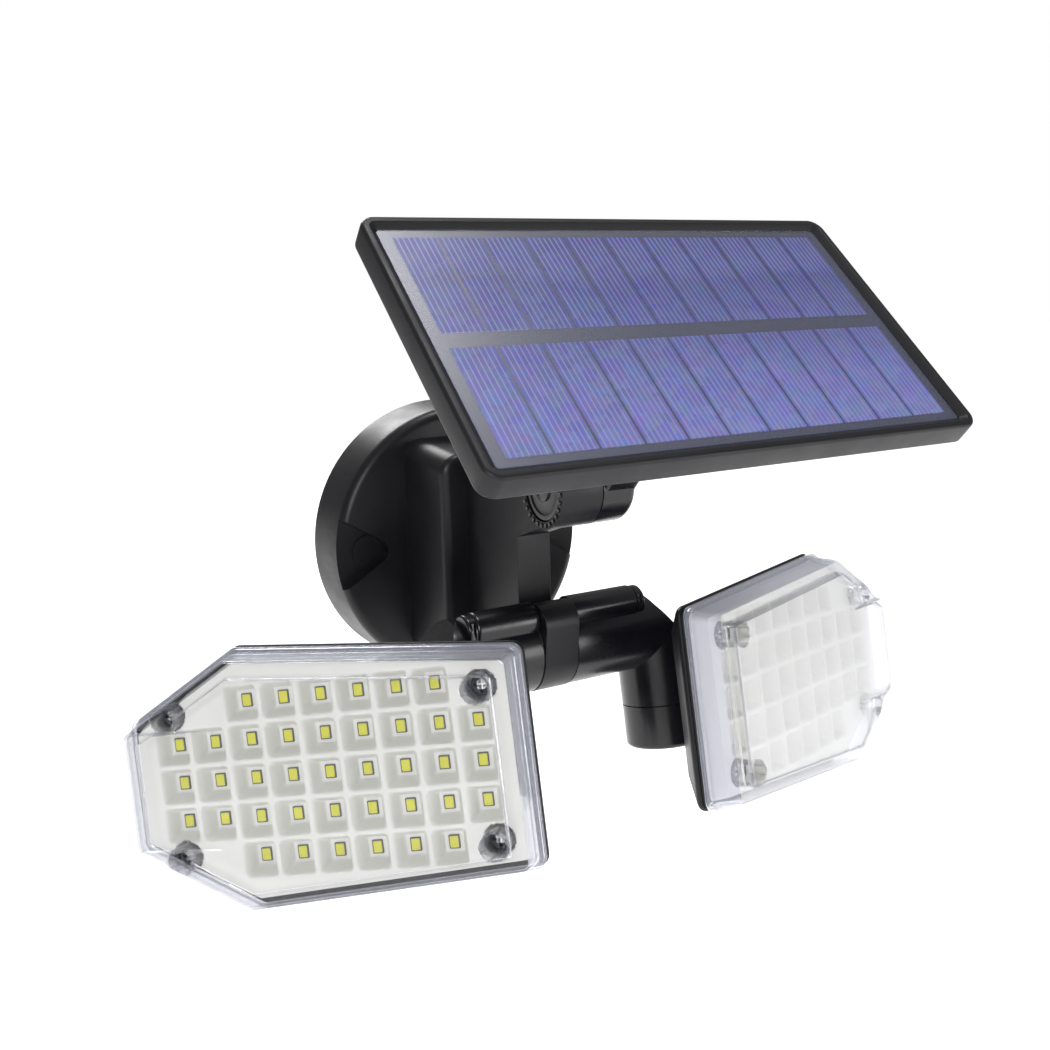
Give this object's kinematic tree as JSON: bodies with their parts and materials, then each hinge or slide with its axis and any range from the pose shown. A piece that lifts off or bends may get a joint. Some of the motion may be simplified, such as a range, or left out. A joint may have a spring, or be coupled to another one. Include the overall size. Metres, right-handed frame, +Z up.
{
  "type": "solar flood light",
  "caption": "Wall-mounted solar flood light: round base with battery box and bracket, tilting rectangular solar panel above, and lamp heads with tapered clear covers on swivelling arms.",
  "frame": {"origin": "centre of the base's back face, in the plane of the wall", "axes": "+X to the right seen from the front, +Z up, -Y away from the wall (the front)"},
  "size_m": [0.2377, 0.1612, 0.1717],
  "materials": {
    "black_plastic": "satin moulded",
    "zinc_steel": "zinc plated",
    "clear_plastic": "clear polycarbonate",
    "white_plastic": "white moulded",
    "board_aluminium": "white solder mask",
    "led_yellow": "phosphor",
    "seal_rubber": "matte",
    "cell_wrap": "shrink wrap",
    "green_board": "solder mask",
    "solar_blue": "polycrystalline strips",
    "laminate_grey": "epoxy board",
    "clear_film": "clear resin",
    "lens_white": "milky lens",
    "button_rubber": "soft"
  },
  "bodies": {
    "base": {"arm_spindle": "zinc_steel", "arm_spindle_nuts": "zinc_steel", "arm_washers": "white_plastic", "base_back_plate": "black_plastic", "base_housing": "black_plastic", "base_screws": "zinc_steel", "base_seal": "seal_rubber", "battery_cell": "cell_wrap", "battery_tray": "black_plastic", "bracket_screws": "zinc_steel", "control_board": "green_board", "hinge_bracket": "black_plastic", "mode_switch": "black_plastic", "panel_hinge_bolt": "zinc_steel", "panel_hinge_cap": "black_plastic", "panel_hinge_nut": "zinc_steel", "pir_lens": "lens_white", "pir_sensor": "white_plastic"},
    "left_arm": {"left_arm_tube": "black_plastic", "left_arm_channel_plug": "black_plastic", "left_swivel_bolt": "zinc_steel", "left_swivel_nut": "zinc_steel"},
    "right_arm": {"right_arm_tube": "black_plastic", "right_arm_channel_plug": "black_plastic", "right_swivel_bolt": "zinc_steel", "right_swivel_nut": "zinc_steel"},
    "left_head": {"left_head_shell": "black_plastic", "left_head_seal": "seal_rubber", "left_led_board": "board_aluminium", "left_led_chips": "led_yellow", "left_reflector": "white_plastic", "left_clear_cover": "clear_plastic", "left_cover_screws": "zinc_steel", "left_neck_screws": "zinc_steel", "left_head_knuckle": "black_plastic"},
    "right_head": {"right_head_shell": "black_plastic", "right_head_seal": "seal_rubber", "right_led_board": "board_aluminium", "right_led_chips": "led_yellow", "right_reflector": "white_plastic", "right_clear_cover": "clear_plastic", "right_cover_screws": "zinc_steel", "right_neck_screws": "zinc_steel", "right_head_knuckle": "black_plastic"},
    "panel": {"panel_frame": "black_plastic", "panel_laminate": "laminate_grey", "solar_cells": "solar_blue", "panel_film": "clear_film", "panel_back_cover": "black_plastic", "panel_screws": "zinc_steel", "panel_stem": "black_plastic", "panel_stem_screws": "zinc_steel", "panel_hinge_plug": "black_plastic"},
    "button": {"mode_button": "button_rubber"}
  },
  "joints": [
    {"name": "panel_tilt", "type": "hinge", "parent": "base", "child": "panel", "pos_m": [0, -0.088, 0.0266], "axis": [1, 0, 0], "range_deg": [-42, 18]},
    {"name": "left_arm_tilt", "type": "hinge", "parent": "base", "child": "left_arm", "pos_m": [0, -0.073, -0.0212], "axis": [1, 0, 0], "range_deg": [-30, 50]},
    {"name": "right_arm_tilt", "type": "hinge", "parent": "base", "child": "right_arm", "pos_m": [0, -0.073, -0.0212], "axis": [1, 0, 0], "range_deg": [-30, 50]},
    {"name": "left_head_swivel", "type": "hinge", "parent": "left_arm", "child": "left_head", "pos_m": [-0.035, -0.073, -0.0212], "axis": [0, 0.1942, 0.981], "range_deg": [-35, 40]},
    {"name": "right_head_swivel", "type": "hinge", "parent": "right_arm", "child": "right_head", "pos_m": [0.035, -0.073, -0.0212], "axis": [0, 0.1942, 0.981], "range_deg": [-19, 55]},
    {"name": "mode_button_press", "type": "slide", "parent": "base", "child": "button", "axis": [-1, 0, 0], "range_m": [0, 0.0012], "stiffness_N_per_m": 400, "springref_m": -0.0005}
  ]
}
